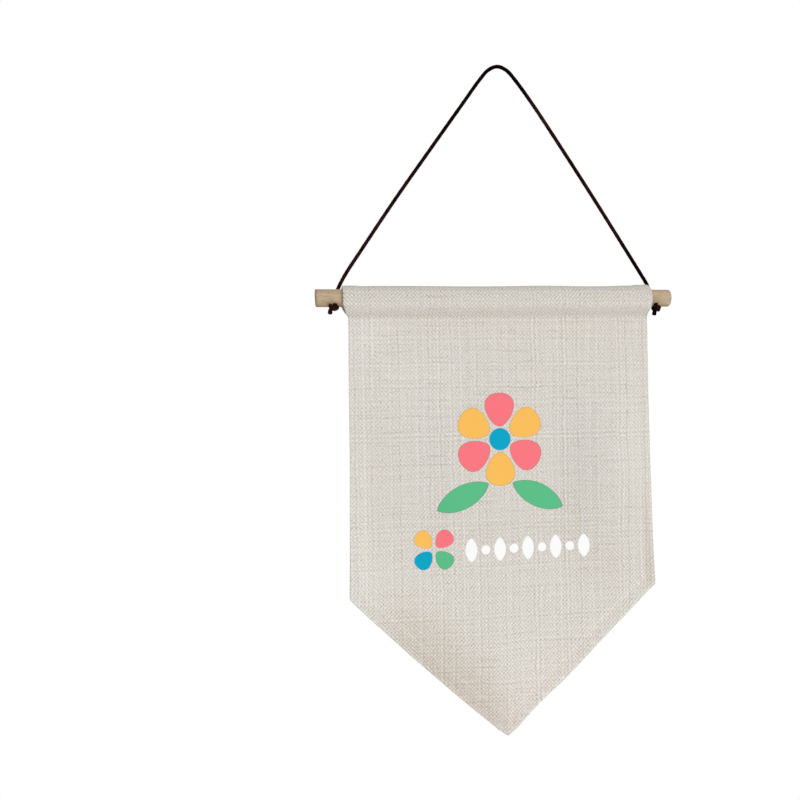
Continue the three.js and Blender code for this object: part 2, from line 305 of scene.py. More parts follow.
# the cord: one waxed strand, knotted under each end of the dowel
cordSet = {
    "diameter": 2.4,
    "sides": 18,
    "step": 0.55,
    "holeTurn": 36,  # the holes' upper mouths lean this many degrees to the back
    "mouth": 5.4,  # from the dowel's axis to the cord's way in and out of a hole
    "left": {
        "holeX": -105.3,
        "lean": 9,
        "outward": -1,
        "roll": 222,
        "tail": 3.4,
        "tailWay": (0, -0.2, -1),
        "hang": (-0.2, 0, 0.2),  # how far the knot is moved from under its hole
    },
    "right": {
        "holeX": 102.0,
        "lean": 2,
        "outward": 1,
        "roll": 229,
        "tail": 3.0,
        "tailWay": (-0.26, -0.1, -1),
        "hang": (-0.3, 0, -0.65),
    },
    "wearAndHighlight": (  # x, and how far the strand is painted lighter brown there: partly rubbed wax, partly a painted highlight
        (-103, 0.55), (-84, 0.75), (-61, 0.45), (-37, 0.25), (-13, 0.10), (14, 0.06), (24, 0.65),
        (38, 0.65), (48, 0.35), (64, 0.60), (76, 0.50), (86, 0.15), (98, 0.05), (101, 0.45),
    ),
    "route": [  # metres, from the left hole over the top of the loop to the right hole
        (-0.1032, 0.0037, -0.1389), (-0.1014, 0.0030, -0.1353), (-0.0982, 0.0024, -0.1298),
        (-0.0881, 0.0021, -0.1148), (-0.0675, 0.0016, -0.0847), (-0.0456, 0.0011, -0.0542),
        (-0.0232, 0.0006, -0.0233), (-0.0116, 0.0003, -0.0074), (-0.0060, 0.0001, -0.0012),
        (0.0, 0.0, 0.0012),
        (0.0059, 0.0001, -0.0010), (0.0113, 0.0003, -0.0066), (0.0227, 0.0006, -0.0216),
        (0.0434, 0.0011, -0.0518), (0.0637, 0.0016, -0.0822), (0.0838, 0.0021, -0.1131),
        (0.0939, 0.0024, -0.1287), (0.0984, 0.0030, -0.1354), (0.1006, 0.0038, -0.1389),
    ],
}
knotSet = {"points": 110, "spacing": 0.42, "turns": 1300, "squeeze": 0.86, "pull": 0.036}


# An overhand knot pulled tight. It starts as the long trefoil x = t^3 - 3t, y = t^4 - 4t^2,
# z = t^5 - 10t. Each turn evens the spacing, softens the bends, parts strands that press
# into each other and draws the two ends apart.
def tieKnot(settings, diameter):
    t = np.linspace(-2.25, 2.25, settings["points"] * 4)
    loose = np.stack([2.2 * (t**3 - 3 * t), 1.6 * (t**4 - 4 * t**2), 0.35 * (t**5 - 10 * t)], 1)
    length = np.linalg.norm(np.diff(loose, axis=0), axis=1).sum()
    strand = evenly(loose, length / (settings["points"] - 1))
    order = np.arange(len(strand))
    apart = np.abs(order[:, None] - order[None, :]) > math.ceil(1.25 * diameter / settings["spacing"]) + 1
    looseStep = length / (len(strand) - 1)
    for turn in range(settings["turns"]):
        share = min(1.0, turn / (0.7 * settings["turns"]))
        step = looseStep + (settings["spacing"] - looseStep) * share
        for _ in range(3):
            gaps = np.diff(strand, axis=0)
            fix = 0.45 * (1 - step / np.linalg.norm(gaps, axis=1, keepdims=True)) * gaps
            strand[:-1] += fix
            strand[1:] -= fix
        strand[1:-1] += 0.25 * ((strand[2:] + strand[:-2]) / 2 - strand[1:-1])
        between = strand[:, None] - strand[None, :]
        distance = np.linalg.norm(between, axis=2) + 1e-9
        press = np.where(apart, np.maximum(settings["squeeze"] * diameter - distance, 0), 0)
        pushed = (between / distance[..., None] * press[..., None]).sum(1)
        strand += 0.35 * pushed / np.maximum((press > 0).sum(1), 1)[:, None]
        pull = unit(strand[-1] - strand[0]) * settings["pull"]
        strand[:4] -= pull
        strand[-4:] += pull
    between = np.linalg.norm(strand[:, None] - strand[None, :], axis=2)
    touching = np.where((apart & (between < 1.02 * diameter)).any(1))[0]
    return strand, touching[0], touching[-1]


# axes of a hole: two across it and the one from its upper mouth to its lower one
def holeAxes(end):
    lean, turn = math.radians(end["lean"]), math.radians(cordSet["holeTurn"])
    down = math.cos(lean)
    along = np.array([end["outward"] * math.sin(lean), -math.sin(turn) * down, -math.cos(turn) * down])
    level = unit(np.cross(along, [0, 1, 0]))
    return np.stack([level, np.cross(along, level), along])


def onHole(end, distance):
    return np.array([end["holeX"], 0, rodZ]) + distance * holeAxes(end)[2]


# The knot of one end, just under its hole. Past the last place where the strand touches itself
# comes a short cut tail, which turns from the strand's own way to the tail's.
def placeKnot(tied, end):
    strand, firstTouch, lastTouch = tied
    knot = strand[max(firstTouch - 1, 0):lastTouch + 1] - strand[max(firstTouch - 1, 0)]
    down = unit(knot[2] - knot[0])
    aside = unit(np.cross(down, knot.mean(0)))
    local = knot @ np.stack([aside, np.cross(down, aside), down], axis=1)
    local[:, :2] = local[:, :2] @ turnMatrix(end["roll"])
    body = local @ holeAxes(end) + onHole(end, cordSet["mouth"] + 0.7) + np.array(end["hang"])
    count = int(round(end["tail"] / knotSet["spacing"]))
    share = np.clip(np.arange(1, count + 1) / (0.6 * count), 0, 1)[:, None]
    way = unit((1 - share) * unit(body[-1] - body[-3]) + share * unit(np.array(end["tailWay"])))
    return np.vstack([body, body[-1] + np.cumsum(way * knotSet["spacing"], axis=0)])


# one even path: left tail, knot, hole, loop, hole, knot, right tail
def cordPath(settings):
    tied = tieKnot(knotSet, settings["diameter"])
    left, right = settings["left"], settings["right"]
    leftHole = np.array([onHole(left, d) for d in (settings["mouth"], 0.5, -settings["mouth"])])
    rightHole = np.array([onHole(right, d) for d in (-settings["mouth"], 0.5, settings["mouth"])])
    loop = np.vstack([leftHole, np.array(settings["route"]) / mm, rightHole])
    parts = [placeKnot(tied, left)[::-1], smoothRoute(loop, 40), placeKnot(tied, right)]
    path = evenly(np.vstack(parts), settings["step"])
    for _ in range(2):  # softens the joins between knots and holes
        path[1:-1] = (path[:-2] + 2 * path[1:-1] + path[2:]) / 4
    return path


# dark waxed strand: low twist in its bump, lighter brown in stretches, partly rubbed wax and partly a painted
# highlight
def waxedCord():
    look = Recipe("waxedCord")
    place = look.stored("strandPlace", "Vector")
    parts = look.split(place)
    around = look.math("ARCTAN2", parts[1], parts[0])
    twist = look.math("SINE", look.math("MULTIPLY_ADD", parts[2], 1.15, look.times(around, 3.0)))
    fibre = look.noise(look.scaled(place, (2.0, 2.0, 0.35)), 3.0, 4.0, 0.6)
    patch = look.noise(look.objectPlace(), 160.0, 3.0)
    # painted highlight: the lighter brown along the strand and on the knots stands partly for light on the
    # wax
    rubbedAndLit = look.times(look.stored("strandWearAndHighlight"), look.remap(patch, 0.35, 0.65, 0.4, 1.6))
    wornAndLit = look.layered(rubbedAndLit, (twist, 0.05))
    return look.finish({
        "Base Color": look.blend(wornAndLit, (0.0012, 0.0002, 0.0002), (0.0317, 0.0093, 0.0062)),
        "Roughness": look.remap(fibre, 0.3, 0.7, 0.36, 0.56),
        "Specular IOR Level": 0.025,
        "Specular Tint": (0.95, 0.48, 0.38),
        "Normal": look.bump(look.layered(look.times(fibre, 0.5), (twist, 0.3)), 0.00006, 0.5),
    })


def buildCord(settings):
    path = cordPath(settings)
    tangent, normal, across = framesAlong(path)
    count, sides = len(path), settings["sides"]
    around, along = circle(1, sides), np.arange(count) * settings["step"]
    # the strand is a touch thicker and thinner along its length
    radius = settings["diameter"] / 2 * (1 + 0.02 * np.sin(along * 0.9) + 0.015 * np.sin(along * 2.3))
    cut = np.minimum(np.arange(count), np.arange(count)[::-1])  # rings from either cut end
    swell = 1 + 0.25 * np.exp(-((cut * settings["step"] / 2.2) ** 2))  # the cut ends spread a little
    radius = radius * swell * np.where(cut == 0, 0.72, np.where(cut == 1, 0.97, 1))
    spokes = around @ np.stack([normal, across], axis=1)
    rings = (path[:, None] + radius[:, None, None] * spokes).reshape(-1, 3)
    first = np.arange(sides)
    last = first + (count - 1) * sides
    faces = [
        *gridFaces(count, sides)[:, ::-1],
        *fanFaces(first, len(rings)),
        *fanFaces(last[::-1], len(rings) + 1),
    ]
    ends = np.array([path[0] - 0.12 * tangent[0], path[-1] + 0.12 * tangent[-1]])
    points = np.vstack([rings, ends])
    strand = addPiece("knotted_cord", points, faces, [waxedCord()])
    place = np.column_stack([np.tile(around, (count, 1)), np.repeat(along, sides)])
    place = np.vstack([place, [[0, 0, 0], [0, 0, along[-1]]]])
    setAttribute(strand, "strandPlace", "FLOAT_VECTOR", place)
    setAttribute(strand, "strandWearAndHighlight", "FLOAT", np.interp(points[:, 0], *np.array(settings["wearAndHighlight"]).T))
    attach(strand, "root")
    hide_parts("hanging_cord", "knot_left", "knot_right")
    return strand


cord = buildCord(cordSet)

# the banner's cloth: one sheet from the foot up the panel, over the dowel and down its back
clothSet = {
    "panelThick": 0.8,
    "hemThick": 0.9,  # what the turned edge adds behind
    "hemWidth": 10,
    "rimRound": 0.9,
    "front": -0.6,  # the panel's face, from its middle surface
    "seamDrop": 12.1,  # drops are measured down from the dowel's axis
    "corners": {-1: (-99.8, 187.7), 1: (99.7, 185.7)},  # x and drop, left (-1) and right (1)
    "tipX": 0.1,
    "tipDrop": 280.5,
    "tipRound": 1.8,
    "footBow": (1.3, -0.55),  # how far the left and right slanted edges swell outward
    # and how they draw in near the tip: place from the tip, half width, depth
    "footPinch": ((0.15, 0.15, 0.1), (0.20, 0.21, 1.6)),
    "edgeDrops": (12.1, 62, 100, 150, 187),
    "edgeLeft": (97.7, 98.3, 98.5, 99.3, 99.8),  # half widths at those drops
    "edgeRight": (97.5, 97.3, 97.65, 98.6, 99.7),
    "sleeveEnds": {-1: (-101.5, -97.7), 1: (97.6, 97.6)},  # x at the mouth and at the seam
    "sleeveWall": 1.5,  # the sleeve's face stands this far off the dowel, besides its slack
    "sleeveSlack": 0.4,
    "sleeveDeepen": 0.6,
    "seamFront": 0.62,
    "seamBack": 1.9,
    "flap": 8,  # cloth below the seam at the back
    "flapIn": 0.3,
    "puffs": ((-62, 42, 0.20), (28, 44, 0.50), (100, 52, 0.95)),  # x, half width, rise
    "folds": (  # x, half width, depth towards the viewer, top, bottom, slant
        (-90, 17, 1.2, 40, 235, 0.02),
        (-60, 22, -1.5, 14, 215, 0.05),
        (-12, 34, 1.5, 35, 320, -0.03),
        (42, 26, -1.1, 14, 200, -0.04),
        (84, 22, 1.3, 14, 190, 0.04),
    ),
    "curls": ((-4.2, 38), (0.9, 26)),  # depth and reach at the left and right slanted edges
    "patches": (  # x, drop, half width, half height, change of tone
        (-95, 150, 14, 120, 0.060), (-70, 185, 60, 30, 0.032), (-80, 170, 24, 26, 0.016),
        (-92, 44, 22, 34, 0.035), (-84, 20, 30, 22, 0.050), (-64, 52, 26, 32, 0.034),
        (-40, 48, 22, 30, 0.030), (52, 118, 31, 78, -0.062), (80, 92, 20, 64, 0.042),
        (10, 146, 80, 26, -0.018), (20, 195, 90, 40, 0.016), (14, 238, 42, 40, 0.042),
        (60, 172, 22, 24, -0.030), (-88, 160, 16, 24, 0.020),
    ),
    "thread": (1.18, 1.285),  # across and down
}


# half widths of the panel above its corners, straight lines between the given drops
def edgesAt(drop):
    return [np.interp(drop, clothSet["edgeDrops"], clothSet[edge]) for edge in ("edgeLeft", "edgeRight")]


# a slanted foot edge as a straight line from its corner to the tip: its run and its slope
def footSlant(side):
    cornerX, cornerDrop = clothSet["corners"][side]
    run = abs(clothSet["tipX"] - cornerX)
    return run, (clothSet["tipDrop"] - cornerDrop) / run


# Drop of the slanted foot edge under x: the two arms of a hyperbola, which rounds the tip,
# with a bow of 4f(1 - f) and a pinch near the tip added square to each edge.
def footDrop(x):
    out, isLeft = np.abs(x - clothSet["tipX"]), x < clothSet["tipX"]
    run, slope = (np.where(isLeft, left, right) for left, right in zip(footSlant(-1), footSlant(1)))
    part = np.clip(out / run, 0, 1)
    bow = np.where(isLeft, *clothSet["footBow"]) * 4 * part * (1 - part)
    pinch = np.where(isLeft, *(depth * hump(part - at, half) for at, half, depth in clothSet["footPinch"]))
    arms = clothSet["tipDrop"] - slope * np.hypot(out, clothSet["tipRound"])
    return arms + (bow - pinch) * np.hypot(1, slope), slope


# how far a place on the panel lies inside the slanted edge below it
def footInset(x, drop):
    edge, slope = footDrop(x)
    return (edge - drop) / np.hypot(1, slope)


# and inside the nearest of all its edges
def panelInset(x, drop):
    left, right = edgesAt(drop)
    return np.maximum(np.minimum(np.minimum(x + left, right - x), footInset(x, drop)), 0)


# 1 in the turned hem and 0 beyond it, eased from some way before its inner edge to past it
def inHem(inset, before, past):
    return 1 - ease(inset, clothSet["hemWidth"] - before, clothSet["hemWidth"] + past)


# The panel's middle surface: humps of each fold times a sine down its length, and curls that
# grow with the square of nearness to the slanted edges.
def foldY(x, drop):
    towards = np.zeros(np.broadcast(x, drop).shape)
    for foldX, halfWidth, depth, top, bottom, lean in clothSet["folds"]:
        down = np.clip((drop - top) / (bottom - top), 0, 1)
        towards += depth * hump(x - foldX - lean * (drop - top), halfWidth) * np.sin(down * np.pi)
    for (depth, reach), side in zip(clothSet["curls"], (-1, 1)):
        slope = footSlant(side)[1]
        above = clothSet["tipDrop"] - slope * side * (x - clothSet["tipX"]) - drop
        inset = above / math.hypot(1, slope)
        towards += depth * (1 - np.clip(inset / reach, 0, 1)) ** 2
    return -towards


# room between the dowel's top and the sleeve
def slackAt(x):
    puffs = sum(rise * hump(x - at, half) for at, half, rise in clothSet["puffs"])
    return clothSet["sleeveSlack"] + puffs


# table that turns a drop back into the x of the slanted edge on one side
def slantTable(side):
    x = np.linspace(clothSet["corners"][side][0], clothSet["tipX"], 4000)
    return x, np.maximum.accumulate(footDrop(x)[0]), math.hypot(1, footSlant(side)[1])


# x of the line that lies a given inset inside the outline, at each drop, on one side
def insetLine(side, drop, inset, table):
    x, edge, steep = table
    foot = np.interp(drop + inset * steep, edge, x)
    half = edgesAt(drop)[0 if side < 0 else 1]
    return np.maximum(inset - half, foot) if side < 0 else np.minimum(half - inset, foot)


# soft unevenness of the woven face, a few hundredths of a millimetre
def unevenness(x, drop):
    wide = 0.05 * np.sin(x * 0.21 + 1.3 * np.sin(drop * 0.045))
    return wide + 0.04 * np.sin(drop * 0.26 + np.sin(x * 0.11))


# small puckers that the seam draws into the cloth
def seamPucker(x):
    return 0.05 * np.sin(x * 0.52 + 1.5 * np.sin(x * 0.083))


# the panel's outer face: folds, a faint step over the turned hem, a dent and puckers at the
# seam, unevenness
def panelFace(x, drop):
    step = 0.12 * inHem(panelInset(x, drop), 0.8, 1.2) * ease(drop, 14, 22)
    seam = 0.16 * (1 - ease(drop - clothSet["seamDrop"], 0, 3.0))
    pucker = seamPucker(x) * (1 - ease(drop, 13, 27))
    return foldY(x, drop) + clothSet["front"] - step + seam + pucker + unevenness(x, drop)


# The sleeve's outer face. Its lower halves close to the seam as 1 + cos(pi l^1.8) does, and its
# top is half an ellipse over the dowel; facing is -1 at the front and 1 at the back.
def sleeveFace(x, inset, low, angle, facing):
    height = rodRadius + slackAt(x) + clothSet["sleeveWall"] + 0.35 * inHem(inset, 0.8, 0.4)
    depth = height + clothSet["sleeveDeepen"]
    seam = np.where(facing < 0, clothSet["seamFront"] - 0.18, clothSet["seamBack"])
    closing = 0.5 + 0.5 * np.cos(np.pi * low**1.8)
    y = np.where(low > 0, facing * (seam + (depth - seam) * closing), depth * np.sin(angle))
    up = np.where(low > 0, -clothSet["seamDrop"] * low, height * np.cos(angle))
    pucker = seamPucker(x) * ease(low, 0.25, 0.9)
    return y + facing * (pucker + unevenness(x, 12 - 9 * low)), up


# The sheet's outer face row by row: up the panel from the tip, up the sleeve's front, over the
# dowel, down its back and down the flap. Columns crowd at the edges and the hem's step, rows at
# the tip, the corners and the seam.
def clothGrid(settings):
    insets = np.array([0, 0.06, 0.2, 0.42, 0.68, 0.95, 1.5, 3, 5, 7, 8.6, 9.5, 9.88, 10.12, 10.5, 11.4, 13])
    even = np.linspace(0, 1, 45)[1:]
    tables = {side: slantTable(side) for side in (-1, 1)}
    tipEnd = min(table[1][-1] for table in tables.values())
    drops = np.concatenate([
        tipEnd - np.array([0.001, 0.1, 0.3, 0.6, 1.0, 1.6, 2.4, 3.4, 4.6, 6.0]),
        np.linspace(tipEnd - 7.5, 188.9, 56),
        [188.2, 187.7, 187.2, 186.7, 186.2, 185.7, 185.2, 184.5],
        np.linspace(183.3, 16.5, 103),
        [15.2, 14.2, 13.4, 12.8, 12.4, settings["seamDrop"]],
    ])
    low = np.concatenate([[0.985, 0.95, 0.9], np.linspace(0.84, 0.08, 12)])
    arch = np.radians(np.linspace(-90, 90, 31))
    flap = np.array([0.8, 2, 3.5, 5, 6.2, 7.0, 7.4, 7.7, 7.9, settings["flap"]])
    lowRows = np.concatenate([low, np.zeros(len(arch)), low[::-1], [1.0]])
    archRows = np.concatenate([low * 0, arch, low * 0, [0]])
    facing = np.concatenate([-np.ones(len(low)), np.sign(arch + 1e-9), np.ones(len(low) + 1)])
    pull = np.clip((lowRows - 0.35) / 0.65, 0, 1) ** 1.6
    middle = settings["tipX"]
    half = {}
    for side, (mouth, seam) in settings["sleeveEnds"].items():
        edge = np.concatenate([mouth + (seam - mouth) * pull, flap * 0 + seam - side * settings["flapIn"]])
        panel = np.stack([insetLine(side, drops, inset, tables[side]) for inset in insets], axis=1)
        near = np.vstack([panel, edge[:, None] - side * insets])
        reach = np.abs(near - near[:, :1])
        room = np.abs(middle - near[:, :1]) * 0.85
        near = near[:, :1] - side * reach * np.minimum(1, room / reach[:, -1:])
        half[side] = np.hstack([near, near[:, -1:] + (middle - near[:, -1:]) * even])
    x = np.hstack([half[-1], half[1][:, -2::-1]])
    count = len(drops)
    onPanel, onSleeve, onFlap = np.split(np.arange(len(x)), [count, count + len(lowRows)])
    drop = drops[:, None] + 0 * x[onPanel]
    edgeIn = np.minimum(x - x[:, :1], x[:, -1:] - x)
    rows = lowRows[:, None], archRows[:, None], facing[:, None]
    y, up = sleeveFace(x[onSleeve], edgeIn[onSleeve], *rows)
    below = flap[:, None] + 0 * x[onFlap]
    flapY = settings["seamBack"] + 0.15 * np.sin(below * 0.5) + 0.35 * inHem(edgeIn[onFlap], 1.5, 0.5)
    outer = np.concatenate([
        np.stack([x[onPanel], panelFace(x[onPanel], drop), rodZ - drop], -1),
        np.stack([x[onSleeve], y, rodZ + up], -1),
        np.stack([x[onFlap], flapY, rodZ - settings["seamDrop"] - below], -1),
    ])
    flapInset = np.minimum(edgeIn[onFlap], settings["flap"] - below)
    inset = np.concatenate([panelInset(x[onPanel], drop), edgeIn[onSleeve], flapInset])
    travelled = distanceAlong(outer[:, outer.shape[1] // 2, 1:])
    uv = np.stack([x, (travelled - travelled[count])[:, None] + 0 * x], -1)
    return outer, inset, uv, count


# a closed sheet: front and back of every place, drawn together to nothing around the rim
def thicken(outer, inset, thick, rim):
    normal = unit(np.cross(np.gradient(outer, axis=1), np.gradient(outer, axis=0)))
    part = np.sqrt(1 - (1 - np.clip(inset / rim, 0, 1)) ** 2)
    part[[0, -1]] = 0
    middle = outer - normal * thick[..., None] / 2
    out = normal * (thick * part / 2)[..., None]
    return np.concatenate([middle + out, (middle - out)[:, -2:0:-1]], axis=1)


# front values carried on round the rim to the back
def aroundRim(values):
    return np.concatenate([values, values[:, -2:0:-1]], axis=1)


# thread numbers as turns, u times pi over the pitch, and their sines: warp and weft
def threadWaves(look, place):
    turns = [look.times(part, math.pi / pitch) for part, pitch in zip(look.split(place), clothSet["thread"])]
    return turns, [look.math("SINE", turn) for turn in turns]


# Linen-look cloth. Thread numbers come from the piece's own thread map in millimetres, which
# wanders a little. Cells take turns between warp and weft as sin times sin does; every
# thread has a tone of its own that drifts along it.
def plainWeave():
    look = Recipe("plainWeave")
    uv = look.threads()

    def flatNoise(place, scale, detail=2.0, rough=0.5, shift=None, output=0):
        place = place if shift is None else look.scaled(place, (1, 1, 0), shift)
        return look.noise(place, scale, detail, rough, "2D", output)

    wander = flatNoise(uv, 0.045, 3.0, 0.55, output="Color")
    moved = look.moved(uv, look.scaled(wander, (2.6, 2.6, 0), (-1.3, -1.3, 0)))
    close = flatNoise(uv, 0.30, 2.0, 0.6, output="Color")
    moved = look.moved(moved, look.scaled(close, (1.3, 1.3, 0), (-0.65, -0.65, 0)))
    parts = look.split(moved)
    pitchX, pitchY = clothSet["thread"]
    turns, (warp, weft) = threadWaves(look, moved)
    cell = look.times(warp, weft)
    between = look.times(look.math("COSINE", turns[0]), look.math("COSINE", turns[1]))
    hill = look.math("POWER", look.math("ABSOLUTE", cell), 0.6)
    crisp, ownLean, streak = look.split(look.stored("clothWeave", "Vector"))
    lean = look.remap(flatNoise(uv, 0.075, shift=(53, 29, 0)), 0.36, 0.64, -1.0, 1.0)
    lean = look.math("ADD", lean, ownLean)
    moods = look.split(flatNoise(uv, 0.09, 2.0, 0.6, (91, 13, 0), "Color"))
    # one tone for each thread, shown more where its own mood is high
    shown = []
    for part, pitch, shift, mood in ((0, pitchX, 0.0, (1, 0.35, 1)), (1, pitchY, 61.3, (0, 1, 0.35))):
        number = look.math("MULTIPLY_ADD", parts[part], 0.8 / pitch, shift)
        own = look.math("SUBTRACT", look.noise(number, 1.0, 0.0, 0.5, "1D"), 0.5)
        shown.append(look.times(own, look.remap(moods[mood[0]], 0.35, 0.65, *mood[1:]), streak))
    fleck = look.noise(look.scaled(moved, (0.62, 0.62, 0), (5, 71, 0)), 1.0, 2.0, 0.8, "2D")
    cloud = flatNoise(uv, 0.035, 3.0, 0.6)
    # the checks are partly the yarns' own tone and partly painted shade of the weave's relief; the hill term
    # paints shade where the weave lies low
    checks = look.layered(cell, (look.times(between, lean), 0.28))
    tone = look.layered(
        look.times(checks, crisp, 0.145),
        (look.times(warp, moods[0]), 0.060),
        (look.times(weft, moods[1]), 0.045),
        (shown[0], 0.27),
        (shown[1], 0.19),
        (look.math("SUBTRACT", fleck, 0.5), 0.34),
        (look.math("SUBTRACT", cloud, 0.5), 0.030),
        (look.math("SUBTRACT", hill, 0.7), 0.02),
    )
    slub = look.noise(look.scaled(moved, (0.035, 1.05 / pitchY, 0), (17, 83, 0)), 1.0, 0.0, 0.5, "2D")
    tone = look.math("SUBTRACT", tone, look.remap(slub, 0.71, 0.78, 0.0, 0.07))
    # painted shade in the weave's pits: the tone is lowered by its own square
    tone = look.layered(tone, (look.times(tone, tone), -1.2))  # darker pits
    light = look.remap(look.math("ADD", tone, look.stored("clothToneAndShade")), -0.3, 0.3)
    warm, pink = look.split(look.stored("clothWarmth", "Vector"))[:2]
    mottle = look.remap(flatNoise(uv, 0.16, 1.0, shift=(37, 7, 0)), 0.3, 0.7)
    colour = look.blend(light, (0.487, 0.4435, 0.398), (0.920, 0.895, 0.879))
    for share, tint in (
        (mottle, (1.0, 0.999, 0.957)),
        (warm, (1.0, 0.965, 0.885)),
        (pink, (1.0, 0.958, 0.975)),
    ):
        colour = look.blend(share, colour, tint, "MULTIPLY")
    return look.finish({
        "Base Color": colour,
        "Roughness": 0.9,
        "Specular IOR Level": 0.2,
        "Sheen Weight": 0.05,
        "Sheen Roughness": 0.5,
        "Normal": look.bump(hill, 0.00012, 0.3),
    })


# The panel's slow tone, with its warmth and pinkness: soft patches, each a product of two humps; painted
# shade, darker and warmer, along the left slanted edge and the lower right side; a pinker tip; at the hem a
# painted highlight on its rim, a band of painted shade and a painted highlight on the ridge at its inner
# edge; and at the seam.
def panelToneAndShade(x, drop, inset):
    tone = 0.010
    for patchX, patchDrop, halfWidth, halfHeight, change in clothSet["patches"]:
        tone = tone + change * hump(x - patchX, halfWidth) * hump(drop - patchDrop, halfHeight)
    footIn = np.maximum(footInset(x, drop), 0)
    leftFootShade = (1 - ease(footIn, 2, 42)) * ease(-x, -10, 12) * ease(x, -88, -52)
    sideIn = edgesAt(drop)[1] - x
    rightSideShade = (1 - ease(sideIn, 5.6, 8.2)) * ease(drop, 112, 160)
    tipNear = (1 - ease(footIn, 4, 30)) * ease(drop, 205, 250)
    ridgeAt = 8.2 + 0.5 * ease(drop, 90, 150) + 0.9 * ease(drop, 180, 200)
    # painted highlight on the hem's rolled rim and on the ridge at its inner edge, with a band of painted
    # shade between
    tone += 0.030 * (1 - ease(inset, 1.4, 2.8))  # the hem's rim, band and ridge
    tone -= 0.014 * ease(inset, 2.0, 3.4) * (1 - ease(inset, 6.6, 8.0))
    tone += (0.044 + 0.022 * ease(x, 40, 80)) * hump(inset - ridgeAt, 1.7)
    # painted shade: darker along the left slanted edge where it curls back and along the lower right side,
    # with a dark line near the right edge
    tone -= 0.095 * leftFootShade
    tone -= rightSideShade * (0.042 * ease(inset, 2.0, 3.0) + 0.030 * ease(drop, 150, 180))
    tone -= 0.045 * hump(sideIn - 2.9, 1.0) * ease(drop, 120, 165)
    # painted highlight on a narrow strip just under the seam, and painted shade over the panel's top down to
    # 20 mm under the axis
    tone += 0.045 * ease(drop, 12.2, 13.2) * (1 - ease(drop, 13.6, 15.4))  # under the seam
    tone -= 0.030 * (1 - ease(drop, 15, 20))
    cool = hump(x - 50, 36) * hump(drop - 100, 90) + 0.5 * hump(x + 34, 44) * hump(drop - 90, 60)
    # a warm cast over the cloth, warmer in the painted shade of the left foot and lower right side and near
    # the tip, less in the cooler patches
    warmth = 0.23 + 0.34 * leftFootShade + 0.16 * rightSideShade + 0.07 * tipNear - 0.23 * cool
    return tone, np.stack([np.clip(warmth, 0, 1), 0.55 * tipNear, 0 * warmth], axis=-1)


# the sleeve's painted light and shade: a little darker overall, a painted highlight on the rims of its ends,
# most at the right end, a band of painted light on its under side, and painted shade just over the seam
def sleevePaintedLight(x, inset, low):
    under = ease(low, 0.22, 0.42) * (1 - ease(low, 0.70, 0.92))
    tone = (0.02 + 0.05 * ease(x, 60, 80)) * (1 - ease(inset, 0.2, 1.4)) - 0.022
    tone += (0.076 - 0.022 * ease(x, -85, -50)) * under
    return tone - (0.05 - 0.03 * ease(x, -50, 70)) * ease(low, 0.84, 0.92)


# How the weave shows from place to place: how crisp its checks are, which diagonal they lean
# to, and how much single threads streak.
def ownWeave(x, drop, onSleeve):
    low = hump(drop - 198, 40)
    crisp = np.where(onSleeve, 1.36 - 0.16 * ease(x, -20, 40), 0.93 + 0.33 * ease(drop, 110, 200))
    lean = np.where(onSleeve, -0.3 + 1.3 * ease(x, -10, 40), 0.65 * low - 0.45 * (1 - ease(drop, 40, 90)))
    return np.stack([crisp, lean, np.where(onSleeve, 0.55, 1.0) + 0 * x], axis=-1)


def buildCloth(settings):
    outer, inset, uv, panelRows = clothGrid(settings)
    thick = settings["panelThick"] + settings["hemThick"] * inHem(inset, 0.14, 0.14)
    points = thicken(outer, inset, thick, settings["rimRound"])
    faces = gridFaces(*points.shape[:2])
    cloth = addPiece("banner_sheet", points.reshape(-1, 3), faces, [plainWeave()])
    layThreads(cloth, aroundRim(uv).reshape(-1, 2))
    x, drop = outer[..., 0], rodZ - outer[..., 2]
    onSleeve = (np.arange(len(inset)) >= panelRows)[:, None]
    low = np.where(outer[..., 1] < 0, drop / settings["seamDrop"], 0)
    tone, warmth = panelToneAndShade(x, drop, inset)
    tone = np.where(onSleeve, sleevePaintedLight(x, inset, low), tone)
    warmth = np.where(onSleeve[..., None], [0.22, 0, 0], warmth)
    setAttribute(cloth, "clothToneAndShade", "FLOAT", aroundRim(tone))
    setAttribute(cloth, "clothWarmth", "FLOAT_VECTOR", aroundRim(warmth))
    setAttribute(cloth, "clothWeave", "FLOAT_VECTOR", aroundRim(ownWeave(x, drop, onSleeve)))
    mend(cloth, 0.0005 * mm)
    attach(cloth, "root")
    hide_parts("banner_cloth")
    print("cloth woven,", len(cloth.data.polygons), "faces")
    return cloth


cloth = buildCloth(clothSet)

